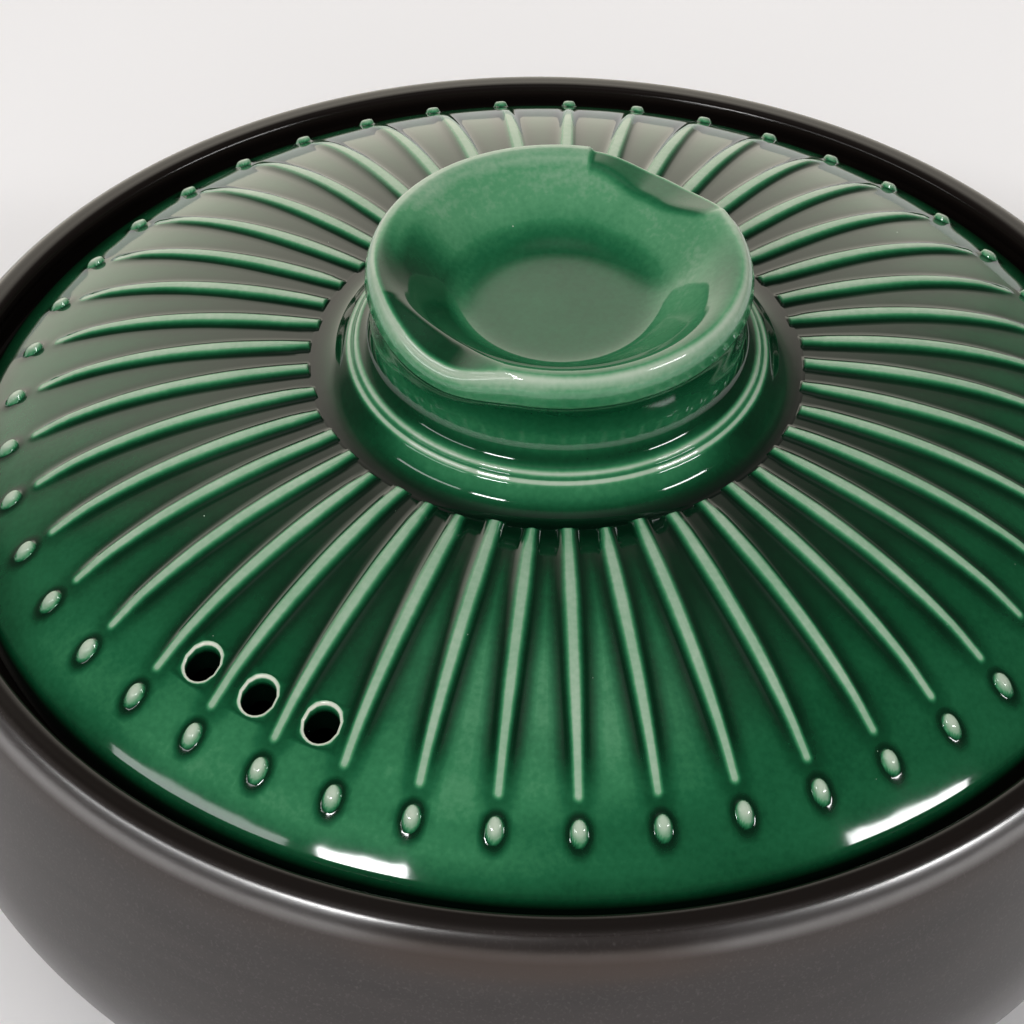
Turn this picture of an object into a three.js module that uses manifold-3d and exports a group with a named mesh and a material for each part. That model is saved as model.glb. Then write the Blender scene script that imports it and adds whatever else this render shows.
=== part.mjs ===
// A lidded stoneware casserole: a bowl with two lug handles,
// and a domed lid with ribs, beads, steam vents and a dished knob.
// Millimetres, +Z up. The origin is on the table under the pot's axis, and the handles lie along X.
import * as THREE from "three";
import { mergeVertices } from "three/addons/utils/BufferGeometryUtils.js";
import Module from "manifold-3d";

const wasm = await Module();
wasm.setup();
const { degToRad, lerp } = THREE.MathUtils;
const QUARTER_TURN = Math.PI / 2;

// Clearances between pieces
const CUT_GAP = 0.3;
const LID_GAP = 4.7;

// Bowl
const BOWL_RADIUS = 128;
const BOWL_HEIGHT = 94.8;
const BELLY_SHARE = 0.615;
const BOWL_WALL = 8;
const BASE_WALL = 7.5;
const FOOT_RADIUS = 72;
const FOOT_WIDTH = 8;
const FOOT_HEIGHT = 2.5;
const LIP_INSET = 2.8;
const LIP_ROUND = 5;
const LIP_FLAT = 0.8;
const LIP_CREASE = 1.2;
const GALLERY_DEPTH = 8.8;
const LEDGE_WIDTH = 10;
const LEDGE_THICKNESS = 6;

// Lid
const LID_WALL = 6.5;
const LID_SKIRT = 5.5;
const EDGE_ROUND = 3.5;
const EDGE_TURN = degToRad(50);
const SEAT_WIDTH = 4.8;
const DOME_RISE = 19.2;
const DOME_ROUND = 0.055;
const RIB_COUNT = 45;
const RIB_FIRST = degToRad(-86.5);
const RIB_HEIGHT = 1.6;
const RIB_INNER_WIDTH = 2.8;
const RIB_OUTER_WIDTH = 1.8;
const RIB_TO_KNOB = 2.4;
const RIB_TO_BEAD = 5.2;
const BEAD_INSET = 8.3;
const BEAD_LENGTH = 5;
const BEAD_WIDTH = 3.6;
const BEAD_HEIGHT = 2;
const VENT_COUNT = 3;
const VENT_FIRST_GAP = 3;
const VENT_DIAMETER = 7.5;
const VENT_INSET = 19.7;

// Knob, with the levels on it as shares of its height above its seat
const KNOB_HEIGHT = 26.1;
const KNOB_SINK = 0.5;
const KNOB_SKIRT_RADIUS = 43.5;
const KNOB_FLANGE_RADIUS = 39.1;
const KNOB_SHELF_RADIUS = 34.6;
const KNOB_WAIST_RADIUS = 33.4;
const KNOB_BAND_RADIUS = 36;
const KNOB_RIM_RADIUS = 34;
const KNOB_LIP_WIDTH = 6;
const FLANGE_STEP = 1.2;
const SKIRT_SHARE = 0.05;
const FLANGE_SHARE = 0.18;
const SHELF_SHARE = 0.28;
const WAIST_SHARE = 0.42;
const BAND_SHARE = 0.71;
const RIM_SHARE = 0.97;
const LIP_CROWN_SHARE = 1.03;
const DISH_EDGE_SHARE = 0.88;
const DISH_FLOOR_SHARE = 0.5;
const DISH_FLAT_SHARE = 0.75;
const SCOOP_DEPTH = 4;
const SCOOP_HALF_SPAN = 18.5;
const SCOOP_ANGLES = [228, 50].map(degToRad);

// Handles
const HANDLE_WIDTH = 80;
const HANDLE_REACH = 24;
const HANDLE_THICKNESS = 14;
const HANDLE_ROUND_SHARE = 0.32;
const HANDLE_ROOT = 20;
const HANDLE_DROP = 22;
const HANDLE_TILT = degToRad(8);

// Sides of the round pieces and steps along the curves
const BOWL_SIDES = 60;
const LID_SIDES = 2 * RIB_COUNT;
const KNOB_SIDES = 48;
const VENT_SIDES = 16;
const SCOOP_SIDES = 64;
const BEAD_SIDES = 6;
const BEAD_ROWS = 4;
const BELLY_STEPS = 8;
const DOME_STEPS = 6;
const NECK_STEPS = 8;
const HANDLE_STEPS = 20;
const ROUND_STEPS = 3;

// Places that follow from the sizes above
const bellyHeight = BELLY_SHARE * BOWL_HEIGHT;
const lipRadius = BOWL_RADIUS - LIP_INSET;
const lipCentreRadius = lipRadius - LIP_ROUND;
const lipCentreHeight = BOWL_HEIGHT - LIP_ROUND;
const galleryRadius = lipCentreRadius - LIP_FLAT - LIP_CREASE;
const ledgeHeight = BOWL_HEIGHT - GALLERY_DEPTH;
const ledgeRadius = galleryRadius - LEDGE_WIDTH;
const lidRadius = galleryRadius - LID_GAP;
const beadRadius = lidRadius - BEAD_INSET;
const ventRadius = lidRadius - VENT_INSET;
const skirtTop = ledgeHeight + LID_SKIRT;
const edgeStart = lidRadius - EDGE_ROUND * (1 - Math.cos(EDGE_TURN));
const recessRadius = KNOB_SKIRT_RADIUS + CUT_GAP;
const knobSeat = domeHeight(recessRadius) - KNOB_SINK;
const ribStep = (2 * Math.PI) / RIB_COUNT;

const point = (x, y) => new THREE.Vector2(x, y);
const joined = (solids) => solids.reduce((all, next) => all.add(next));
const cutAll = (body, cutters) => cutters.reduce((rest, cutter) => rest.subtract(cutter), body);
const counted = (count, make) => Array.from({ length: count }, (_, i) => make(i));

// Fall of the lid's dome below its crown, as a share of its fall at the bead circle
function domeFall(radius) {
  const share = radius / beadRadius;
  return DOME_ROUND * share ** 2 + (1 - DOME_ROUND) * share ** 4;
}

// Height of the lid's plain outer surface at a radius
function domeHeight(radius) {
  const edgeHeight = skirtTop + EDGE_ROUND * Math.sin(EDGE_TURN);
  return edgeHeight + DOME_RISE * (domeFall(edgeStart) - domeFall(radius));
}

// Angle by which the dome dips outwards at a radius
function domeDip(radius) {
  const share = radius / beadRadius;
  const slope = 2 * DOME_ROUND * share + 4 * (1 - DOME_ROUND) * share ** 3;
  return Math.atan((DOME_RISE * slope) / beadRadius);
}

// Points of the lid's surface from one radius to another, raised by a height
function domePoints(from, to, steps, raise) {
  const radii = counted(steps + 1, (i) => lerp(from, to, i / steps));
  return radii.map((radius) => point(radius, domeHeight(radius) + raise));
}

// Points of an ellipse's arc, clockwise where its end angle is the smaller one
function arc(centreX, centreY, radiusX, radiusY, from, to, steps) {
  return new THREE.EllipseCurve(centreX, centreY, radiusX, radiusY, from, to, to < from).getPoints(steps);
}

// A closed geometry as a solid that can be joined and cut
function solid(geometry) {
  geometry.deleteAttribute("normal");
  geometry.deleteAttribute("uv");
  const merged = mergeVertices(geometry);
  const triVerts = Uint32Array.from(merged.index.array);
  const vertProperties = Float32Array.from(merged.attributes.position.array);
  return new wasm.Manifold(new wasm.Mesh({ numProp: 3, vertProperties, triVerts }));
}

// A solid turned about Z from its profile of radius and height, with its first corner on the first rib's line
function turned(profile, sides) {
  const lathe = new THREE.LatheGeometry(profile, sides).rotateX(QUARTER_TURN);
  return solid(lathe.rotateZ(RIB_FIRST + QUARTER_TURN));
}

// A named mesh from a solid and its glaze
function mesh(name, body, glaze) {
  const data = body.getMesh();
  const geometry = new THREE.BufferGeometry();
  geometry.setAttribute("position", new THREE.BufferAttribute(data.vertProperties, 3));
  geometry.setIndex(new THREE.BufferAttribute(data.triVerts, 1));
  geometry.computeVertexNormals();
  const result = new THREE.Mesh(geometry, glaze);
  result.name = name;
  return result;
}

// The bowl's outside from the foot to the top of the lip, grown by a gap
function bowlOutside(grow) {
  const belly = BOWL_RADIUS - FOOT_RADIUS;
  const turn = Math.acos((lipRadius - FOOT_RADIUS) / belly);
  const shoulder = (lipCentreHeight - bellyHeight) / Math.sin(turn);
  const drop = bellyHeight - FOOT_HEIGHT;
  const below = arc(FOOT_RADIUS, bellyHeight, belly, drop, -QUARTER_TURN, 0, BELLY_STEPS);
  const above = arc(FOOT_RADIUS, bellyHeight, belly, shoulder, 0, turn, ROUND_STEPS);
  const lip = arc(lipCentreRadius, lipCentreHeight, LIP_ROUND, LIP_ROUND, 0, QUARTER_TURN, ROUND_STEPS);
  return [...below, ...above.slice(1), ...lip.slice(1)].map((p) => point(p.x + grow, p.y));
}

// The bowl: foot ring, full belly, rounded lip, a gallery with a ledge for the lid, and the hollow
function bowl() {
  const footInner = FOOT_RADIUS - FOOT_WIDTH;
  const floorHeight = FOOT_HEIGHT + BASE_WALL;
  const insideRadius = BOWL_RADIUS - BOWL_WALL;
  const cornerRadius = FOOT_RADIUS - BOWL_WALL;
  const underLedge = ledgeHeight - LEDGE_THICKNESS;
  const insideBelly = lerp(floorHeight, underLedge, BELLY_SHARE);
  const creaseRadius = galleryRadius + LIP_CREASE;
  const creaseHeight = BOWL_HEIGHT - LIP_CREASE;
  const crease = arc(creaseRadius, creaseHeight, LIP_CREASE, LIP_CREASE, QUARTER_TURN, Math.PI, ROUND_STEPS);
  const undercut = new THREE.QuadraticBezierCurve(
    point(ledgeRadius, underLedge),
    point(insideRadius, lerp(insideBelly, underLedge, BELLY_SHARE)),
    point(insideRadius, insideBelly),
  );
  const corner = [insideRadius - cornerRadius, insideBelly - floorHeight];
  const profile = [
    point(0, FOOT_HEIGHT),
    point(footInner, FOOT_HEIGHT),
    point(footInner, 0),
    point(FOOT_RADIUS, 0),
    ...bowlOutside(0),
    ...crease,
    point(galleryRadius, ledgeHeight),
    point(ledgeRadius, ledgeHeight),
    ...undercut.getPoints(ROUND_STEPS),
    ...arc(cornerRadius, insideBelly, ...corner, 0, -QUARTER_TURN, BELLY_STEPS).slice(1),
    point(0, floorHeight),
  ];
  return turned(profile, BOWL_SIDES);
}

// A lug handle on the +X side: a half ellipse in plan with rounded edges, tipped up and cut to fit the bowl
function handle() {
  const round = HANDLE_ROUND_SHARE * HANDLE_THICKNESS;
  const depth = HANDLE_THICKNESS - 2 * round;
  const root = lipRadius - HANDLE_ROOT;
  const reach = BOWL_RADIUS + HANDLE_REACH - root - round;
  const halfWidth = HANDLE_WIDTH / 2 - round;
  const outline = new THREE.Shape(arc(0, 0, reach, halfWidth, -QUARTER_TURN, QUARTER_TURN, HANDLE_STEPS));
  const edges = { depth, bevelThickness: round, bevelSize: round, bevelSegments: ROUND_STEPS };
  const lug = new THREE.ExtrudeGeometry(outline, edges).translate(0, 0, -depth / 2);
  lug.rotateY(-HANDLE_TILT).translate(root, 0, BOWL_HEIGHT - HANDLE_DROP);
  const outside = [point(0, 0), point(FOOT_RADIUS, 0), ...bowlOutside(CUT_GAP), point(0, BOWL_HEIGHT)];
  return solid(lug).subtract(turned(outside, BOWL_SIDES));
}

// The lid's shell: a flat seat, a rounded edge, the dome and a shallow recess for the knob
function lidShell() {
  const seatInner = lidRadius - SEAT_WIDTH;
  return turned([
    point(0, domeHeight(0) - LID_WALL),
    ...domePoints(seatInner / ROUND_STEPS, seatInner, ROUND_STEPS, -LID_WALL),
    point(seatInner, ledgeHeight),
    point(lidRadius, ledgeHeight),
    ...arc(lidRadius - EDGE_ROUND, skirtTop, EDGE_ROUND, EDGE_ROUND, 0, EDGE_TURN, ROUND_STEPS),
    ...domePoints(edgeStart, recessRadius, DOME_STEPS, 0).slice(1),
    point(recessRadius, knobSeat),
    point(0, knobSeat),
  ], LID_SIDES);
}

// A bar along one rib that narrows outwards, from the seat's level to above the crown
function ribBar(angle) {
  const inner = recessRadius + RIB_TO_KNOB;
  const outer = beadRadius - RIB_TO_BEAD;
  const outline = new THREE.Shape([
    point(inner, -RIB_INNER_WIDTH / 2),
    point(outer, -RIB_OUTER_WIDTH / 2),
    point(outer, RIB_OUTER_WIDTH / 2),
    point(inner, RIB_INNER_WIDTH / 2),
  ]);
  const depth = domeHeight(0) + RIB_HEIGHT - ledgeHeight;
  const bar = new THREE.ExtrudeGeometry(outline, { depth, bevelEnabled: false });
  return solid(bar.translate(0, 0, ledgeHeight).rotateZ(angle));
}

// The layer of clay that the ribs are cut from: from the middle of the dome's wall up to the ribs' tops
function ribLayer() {
  const under = domePoints(recessRadius, beadRadius, DOME_STEPS, -LID_WALL / 2);
  const top = domePoints(beadRadius, recessRadius, DOME_STEPS, RIB_HEIGHT);
  return turned([...under, ...top, under[0]], LID_SIDES);
}

// An egg-shaped bead that lies along its rib's line, half sunk in the dome
function bead(angle) {
  const egg = new THREE.SphereGeometry(1, BEAD_SIDES, BEAD_ROWS).rotateX(QUARTER_TURN);
  egg.scale(BEAD_LENGTH / 2, BEAD_WIDTH / 2, BEAD_HEIGHT).rotateY(domeDip(beadRadius));
  return solid(egg.translate(beadRadius, 0, domeHeight(beadRadius)).rotateZ(angle));
}

// A steam vent's drill, straight down through the dome in the middle of the gap that follows a rib
function ventDrill(gap) {
  const length = 2 * (LID_WALL + VENT_DIAMETER);
  const drill = new THREE.CylinderGeometry(VENT_DIAMETER / 2, VENT_DIAMETER / 2, length, VENT_SIDES);
  drill.rotateX(QUARTER_TURN).translate(ventRadius, 0, domeHeight(ventRadius));
  return solid(drill.rotateZ(RIB_FIRST - (gap + 1 / 2) * ribStep));
}

// The lid: the shell with its ribs and beads added and its vents cut
function lid() {
  const angles = counted(RIB_COUNT, (i) => RIB_FIRST - i * ribStep);
  const ribs = joined(angles.map(ribBar)).intersect(ribLayer());
  const beads = joined(angles.map(bead));
  return cutAll(joined([lidShell(), ribs, beads]), counted(VENT_COUNT, (i) => ventDrill(VENT_FIRST_GAP + i)));
}

// A ball that cuts a shallow scoop out of the knob's rim
function scoop(angle) {
  const radius = (SCOOP_HALF_SPAN ** 2 + SCOOP_DEPTH ** 2) / (2 * SCOOP_DEPTH);
  const ball = new THREE.SphereGeometry(radius, SCOOP_SIDES, SCOOP_SIDES / 2);
  ball.translate(KNOB_RIM_RADIUS, 0, knobSeat + KNOB_HEIGHT - SCOOP_DEPTH + radius);
  return solid(ball.rotateZ(angle));
}

// The knob: skirt, stepped flange, waisted neck, band, rounded rim and dish, with scoops out of the rim
function knob() {
  const at = (radius, level) => point(radius, knobSeat + level * KNOB_HEIGHT);
  const dishRadius = KNOB_RIM_RADIUS - KNOB_LIP_WIDTH;
  const floorRadius = DISH_FLAT_SHARE * dishRadius;
  const skirt = new THREE.QuadraticBezierCurve(
    at(KNOB_SKIRT_RADIUS, SKIRT_SHARE),
    at(KNOB_FLANGE_RADIUS, SKIRT_SHARE),
    at(KNOB_FLANGE_RADIUS, FLANGE_SHARE),
  );
  const neck = new THREE.SplineCurve([
    at(KNOB_FLANGE_RADIUS - FLANGE_STEP, FLANGE_SHARE + FLANGE_STEP / KNOB_HEIGHT),
    at(KNOB_SHELF_RADIUS, SHELF_SHARE),
    at(KNOB_WAIST_RADIUS, WAIST_SHARE),
    at(KNOB_BAND_RADIUS, BAND_SHARE),
    at(KNOB_RIM_RADIUS, RIM_SHARE),
  ]);
  const lip = new THREE.QuadraticBezierCurve(
    at(KNOB_RIM_RADIUS, RIM_SHARE),
    at(lerp(KNOB_RIM_RADIUS, dishRadius, 1 / 2), LIP_CROWN_SHARE),
    at(dishRadius, DISH_EDGE_SHARE),
  );
  const dish = new THREE.QuadraticBezierCurve(
    at(dishRadius, DISH_EDGE_SHARE),
    at(lerp(dishRadius, floorRadius, 1 / 2), DISH_FLOOR_SHARE),
    at(floorRadius, DISH_FLOOR_SHARE),
  );
  const body = turned([
    at(0, 0),
    at(KNOB_SKIRT_RADIUS, 0),
    ...skirt.getPoints(ROUND_STEPS),
    ...neck.getPoints(NECK_STEPS),
    ...lip.getPoints(ROUND_STEPS).slice(1),
    ...dish.getPoints(ROUND_STEPS).slice(1),
    at(0, DISH_FLOOR_SHARE),
  ], KNOB_SIDES);
  return cutAll(body, SCOOP_ANGLES.map(scoop));
}

// Glazes: a dark satin iron glaze on the pot and a glossy copper green on the lid
const ironGlaze = () => new THREE.MeshStandardMaterial({ color: "#3a3634", roughness: 0.45, metalness: 0.1 });
const greenGlaze = () => new THREE.MeshStandardMaterial({ color: "#3f7a57", roughness: 0.15, metalness: 0 });

const pot = new THREE.Group();
const handleRight = mesh("handle_right", handle(), ironGlaze());
const handleLeft = mesh("handle_left", handle(), ironGlaze());
handleLeft.rotation.z = Math.PI;
pot.add(mesh("pot_bowl", bowl(), ironGlaze()), handleRight, handleLeft);

const cover = new THREE.Group();
cover.add(mesh("lid_dome", lid(), greenGlaze()), mesh("lid_knob", knob(), greenGlaze()));

const casserole = new THREE.Group();
casserole.add(pot, cover);

export default casserole;
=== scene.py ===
# %% [markdown]
# # A lidded casserole in glazed stoneware
#
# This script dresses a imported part: a clay pot with two lug handles and a ribbed green lid. The packed
# solids have the right sizes and stand in the right places, so they serve as a fixed frame. Each of them
# is replaced here by a fine surface, because what makes such a pot look real is how the glaze settled on
# the clay: thin and pale on every ridge, thick and dark in every hollow. Lengths are typed in millimetres
# and put into Blender in metres, with +Z up.

import bpy
import numpy as np
from mathutils import Matrix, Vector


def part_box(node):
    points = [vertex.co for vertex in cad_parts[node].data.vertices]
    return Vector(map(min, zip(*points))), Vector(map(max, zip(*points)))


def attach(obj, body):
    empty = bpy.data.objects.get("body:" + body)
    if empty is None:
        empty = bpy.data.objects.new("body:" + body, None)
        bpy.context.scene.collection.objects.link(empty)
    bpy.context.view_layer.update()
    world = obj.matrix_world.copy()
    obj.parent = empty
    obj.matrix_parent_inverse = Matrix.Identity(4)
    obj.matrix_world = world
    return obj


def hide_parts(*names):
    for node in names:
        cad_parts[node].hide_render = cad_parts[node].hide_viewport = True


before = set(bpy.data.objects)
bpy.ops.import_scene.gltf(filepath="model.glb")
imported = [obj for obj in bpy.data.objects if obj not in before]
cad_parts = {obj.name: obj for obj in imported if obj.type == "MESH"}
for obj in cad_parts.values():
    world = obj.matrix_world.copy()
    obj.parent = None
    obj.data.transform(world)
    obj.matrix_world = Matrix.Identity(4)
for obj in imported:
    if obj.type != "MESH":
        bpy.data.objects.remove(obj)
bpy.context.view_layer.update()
scene = bpy.context.scene
scene.view_settings.view_transform = "Standard"
print("solids:", ", ".join(sorted(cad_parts)))

# %% [markdown]
# ## From rings of points to a piece
#
# A potter turns nearly everything, so most pieces are rings of points stacked along a profile. Joining
# each ring to the next with quads and closing both ends with a fan gives a watertight skin. Numbers that
# belong to the surface, such as the depth of the glaze, go along as attributes, one value for each point,
# and the materials read them later.

# %% Faces between rings
def ring_faces(index):
    """Quads between neighbouring rows of point numbers, with the last column joined to the first."""
    beside = np.roll(index, -1, axis=1)
    return np.stack([index[:-1], beside[:-1], beside[1:], index[1:]], axis=-1)


def pole_fan(ring, pole):
    """Triangles from a pole to each two neighbours on a ring, in the ring's own order."""
    return np.stack([np.full(ring.size, pole), ring, np.roll(ring, -1)], axis=-1)


print("two rings of three points:", ring_faces(np.arange(6).reshape(2, 3)).tolist())

# %% A piece that rides on its body
MM = 0.001


def fired_piece(name, body, slot, nodes, points, faces, **layers):
    """A smooth piece from points in millimetres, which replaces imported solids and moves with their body."""
    mesh = bpy.data.meshes.new(name)
    mesh.from_pydata((points * MM).tolist(), [], faces)
    for key, values in layers.items():
        layer = mesh.attributes.new(key, "FLOAT", "POINT")
        layer.data.foreach_set("value", np.ravel(values).astype(np.float32))
    mesh.shade_smooth()
    piece = bpy.data.objects.new(name, mesh)
    scene.collection.objects.link(piece)
    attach(piece, body)
    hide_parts(*nodes)
    mesh.calc_loop_triangles()
    print(name, "has", len(mesh.loop_triangles), "triangles")
    return piece


def turned_piece(name, body, slot, nodes, grid, ends, **layers):
    """A piece from rings of points, with a pole before the first ring and one after the last. Each layer
    has one value for each ring or for each point, and the poles take the values of their rings."""
    rows, columns = grid.shape[:2]
    index = np.arange(rows * columns).reshape(rows, columns)
    points = np.concatenate([grid.reshape(-1, 3), ends])
    fans = [pole_fan(index[0][::-1], rows * columns), pole_fan(index[-1], rows * columns + 1)]
    faces = ring_faces(index).reshape(-1, 4).tolist() + np.concatenate(fans).tolist()
    full = {}
    for key, value in layers.items():
        value = np.broadcast_to(np.reshape(value, (rows, -1)), (rows, columns))
        full[key] = np.append(value.ravel(), [value[0, 0], value[-1, 0]])
    return fired_piece(name, body, slot, nodes, points, faces, **full)


print("1 mm is", MM, "m in Blender")

# %% A soft step
def smooth(low, high, value):
    """A soft step from 0 at low to 1 at high, level at both ends. It falls where low lies above high."""
    share = np.clip((value - low) / (high - low), 0, 1)
    return share * share * (3 - 2 * share)


print("soft step at quarters:", smooth(0, 4, np.arange(5)).round(2))

# %% [markdown]
# ## The lid
#
# The lid is pressed in a mould: a flat dome with a steep shoulder, 45 ribs that taper outwards, and an
# egg-shaped bead in front of each rib. A plain polar grid would need a very fine mesh to show crisp ribs,
# so the grid's columns are bent to follow them: some lie across the rib, as wide as the rib is at that
# radius, and the rest share the gap.

# %% The dome's sizes and its height at a radius
SEAT_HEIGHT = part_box("lid_dome")[0][2] / MM
LID_RADIUS = 113.5
LID_WALL = 6.5
SEAT_WIDTH = 4.8
SKIRT_HEIGHT = 5.5
EDGE_ROUND = 3.5
EDGE_TURN = np.radians(50)
DOME_SPAN = 105.2
DOME_RISE = 19.2
DOME_ROUND = 0.055
EDGE_START = LID_RADIUS - EDGE_ROUND * (1 - np.cos(EDGE_TURN))
EDGE_HEIGHT = SEAT_HEIGHT + SKIRT_HEIGHT + EDGE_ROUND * np.sin(EDGE_TURN)


def dome_fall(radius):
    """Fall below the crown as a share of the rise: a little by the square of the radius, most by its fourth
    power."""
    share = radius / DOME_SPAN
    return DOME_ROUND * share**2 + (1 - DOME_ROUND) * share**4


def dome_height(radius):
    """Height of the plain dome above the table."""
    return EDGE_HEIGHT + DOME_RISE * (dome_fall(EDGE_START) - dome_fall(radius))


print("dome from", round(dome_height(EDGE_START), 1), "to", round(dome_height(0.0), 1), "mm")

# %% Radii of the lid's rings, dense where a rib or a bead begins and ends
KNOB_RECESS = 43.8
KNOB_SINK = 0.5
KNOB_SEAT = dome_height(KNOB_RECESS) - KNOB_SINK
RIB_INNER = 46.2
RIB_OUTER = 99.5
BEAD_RADIUS = 104.2
VENT_RADIUS = 93.8
VENT_REACH_IN = 6
VENT_REACH_OUT = 4.5
FINE_STEP = 0.3
SHOULDER_END = 107.4
BEAD_STRETCH = (107.0, 101.4)
RIB_END_STRETCH = (101.2, 97.6)
RIB_STRETCH = (97.2, 49.6)
RIB_START_STRETCH = (49.2, 44.2)
shoulder = np.linspace(EDGE_START, SHOULDER_END, 6)
bead_rings = np.arange(*BEAD_STRETCH, -FINE_STEP)
rib_ends = np.arange(*RIB_END_STRETCH, -FINE_STEP)
along_ribs = np.linspace(*RIB_STRETCH, 20)
rib_starts = np.arange(*RIB_START_STRETCH, -FINE_STEP)
top_radii = np.concatenate([shoulder, bead_rings, rib_ends, along_ribs, rib_starts, [KNOB_RECESS]])
at_vents = (top_radii > VENT_RADIUS - VENT_REACH_IN) & (top_radii < VENT_RADIUS + VENT_REACH_OUT)
vent_rings = top_radii[at_vents]
under_radii = np.concatenate([[12.0, 35.0, 58.0, 78.0], vent_rings[::-1], [102.0, 105.5, 108.0]])
print(len(top_radii), "rings on top and", len(under_radii), "in the hollow")

# %% The lid's profile as radius and height, from the hollow's crown round the edge to the knob's recess
SEAT_INNER = LID_RADIUS - SEAT_WIDTH
SEAT_CORNER = 1.0
SEAT_CHAMFER = 0.3
RECESS_CORNER = 0.5
under = np.stack([under_radii, dome_height(under_radii) - LID_WALL], axis=-1)
seat = np.array([
    [SEAT_INNER, dome_height(SEAT_INNER) - LID_WALL],
    [SEAT_INNER, SEAT_HEIGHT + SEAT_CORNER],
    [SEAT_INNER + SEAT_CHAMFER, SEAT_HEIGHT + SEAT_CHAMFER],
    [SEAT_INNER + SEAT_CORNER, SEAT_HEIGHT],
    [LID_RADIUS - SEAT_CORNER, SEAT_HEIGHT],
    [LID_RADIUS - SEAT_CHAMFER, SEAT_HEIGHT + SEAT_CHAMFER],
    [LID_RADIUS, SEAT_HEIGHT + SEAT_CORNER],
])
edge_bend = np.linspace(0, EDGE_TURN, 6, endpoint=False)
edge_centre = np.array([LID_RADIUS - EDGE_ROUND, SEAT_HEIGHT + SKIRT_HEIGHT])
edge = edge_centre + EDGE_ROUND * np.stack([np.cos(edge_bend), np.sin(edge_bend)], axis=-1)
crown = np.stack([top_radii, dome_height(top_radii)], axis=-1)
recess = np.array([[KNOB_RECESS - RECESS_CORNER, KNOB_SEAT], [25.0, KNOB_SEAT], [8.0, KNOB_SEAT]])
lid_profile = np.concatenate([under, seat, edge, crown, recess])
first_seat = len(under)
first_edge = first_seat + len(seat)
first_top = first_edge + len(edge)
print("lid profile of", len(lid_profile), "rings")

# %% Columns that follow the ribs, and outside them the beads
RIB_COUNT = 45
RIB_STEP = 2 * np.pi / RIB_COUNT
RIB_FIRST = np.radians(-86.5)
RIB_RADII = [RIB_INNER, 62.0, 80.0, RIB_OUTER]
RIB_HALVES = [1.05, 1.36, 1.25, 0.8]
RIB_SHARES = np.array([0, 0.5, 1, 1, 1, 1, 1, 1])
RIB_OFFSETS = np.array([0, 0, -0.35, 0, 0.35, 0.75, 1.25, 2.0])
BEAD_COLUMNS = np.array([0, 0.5, 0.9, 1.2, 1.45, 1.75, 2.3, 3.1])
GAP_SHARES = np.array([0.33, 0.67, 1.0])
NEAR_SHARE = 0.7
BEAD_FROM = 0.5
BEAD_FULL = 2.5
lid_radius = lid_profile[:, :1]
guide = np.maximum(lid_radius, RIB_INNER)
half_step = guide * RIB_STEP / 2
rib_half = np.interp(guide, RIB_RADII, RIB_HALVES)
squeeze = np.minimum(1, NEAR_SHARE * (half_step - rib_half) / RIB_OFFSETS[-1])
past_rib = smooth(RIB_OUTER + BEAD_FROM, RIB_OUTER + BEAD_FULL, guide)
rib_columns = rib_half * RIB_SHARES + squeeze * RIB_OFFSETS
near_columns = (1 - past_rib) * rib_columns + past_rib * BEAD_COLUMNS
gap_start = near_columns[:, -1:]
gap_columns = gap_start + (half_step - gap_start) * GAP_SHARES
half_cell = np.concatenate([near_columns, gap_columns], axis=1)
across = np.concatenate([-half_cell[:, -2:0:-1], half_cell], axis=1)
cell_columns = across.shape[1]
rib_angles = RIB_FIRST + RIB_STEP * np.arange(RIB_COUNT)
lid_angle = (rib_angles[None, :, None] + (across / guide)[:, None, :]).reshape(len(lid_profile), -1)
across = np.tile(across, (1, RIB_COUNT))
rib_number = np.repeat(np.arange(RIB_COUNT), cell_columns)[None, :]
print("lid grid of", lid_angle.shape, "points")

# %% [markdown]
# The ribs were trimmed by hand round the knob, so no two begin at quite the same place or with the same
# width. Slow sines of the rib's number give each its own start and keep every run alike. The molten glaze
# filled the corner at the foot of each rib, so its sides rise in a soft curve, and it climbed a little
# way up each bead, a hollow fillet that fades with distance and catches the light.

# %% How each rib starts
START_SHIFT, START_SPREAD, START_PACE = 0.5, 0.45, 2.3
TIP_SHARE, TIP_SPREAD, TIP_PACE = 0.82, 0.16, 4.1
LEAN_SPREAD, LEAN_PACE = 0.22, 1.3
rib_start = RIB_INNER + START_SHIFT + START_SPREAD * np.sin(START_PACE * rib_number)
tip_half = RIB_HALVES[0] * (TIP_SHARE + TIP_SPREAD * np.sin(TIP_PACE * rib_number + 1))
tip_shift = LEAN_SPREAD * np.sin(LEAN_PACE * rib_number)
print("ribs start between", rib_start.min().round(1), "and", rib_start.max().round(1), "mm from the axis")

# %% Outlines of a rib and a bead
RIB_TIP_LENGTH = 5.0
END_STEEPNESS = 2.5
BEAD_HALF_LENGTH = 1.85
BEAD_HALF_WIDTH = 1.45


def inside_rib(radius, across):
    """Distance inside the outline of a rib: a bar that narrows outwards and a little at its trimmed inner
    end, which is square, while the outer end is round."""
    full = np.interp(radius, RIB_RADII, RIB_HALVES)
    tip = smooth(RIB_TIP_LENGTH, 0, radius - rib_start)
    side = full + (tip_half - full) * tip
    past = np.maximum(radius - (RIB_OUTER - RIB_HALVES[-1]), 0)
    end = END_STEEPNESS * (radius - rib_start)
    return np.minimum(side - np.hypot(across - tip_shift * tip, past), end)


def bead_share(radius, across):
    """Distance from a bead's middle as a share of its half length and half width, 1 on its outline."""
    return np.hypot((radius - BEAD_RADIUS) / BEAD_HALF_LENGTH, across / BEAD_HALF_WIDTH)


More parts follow.
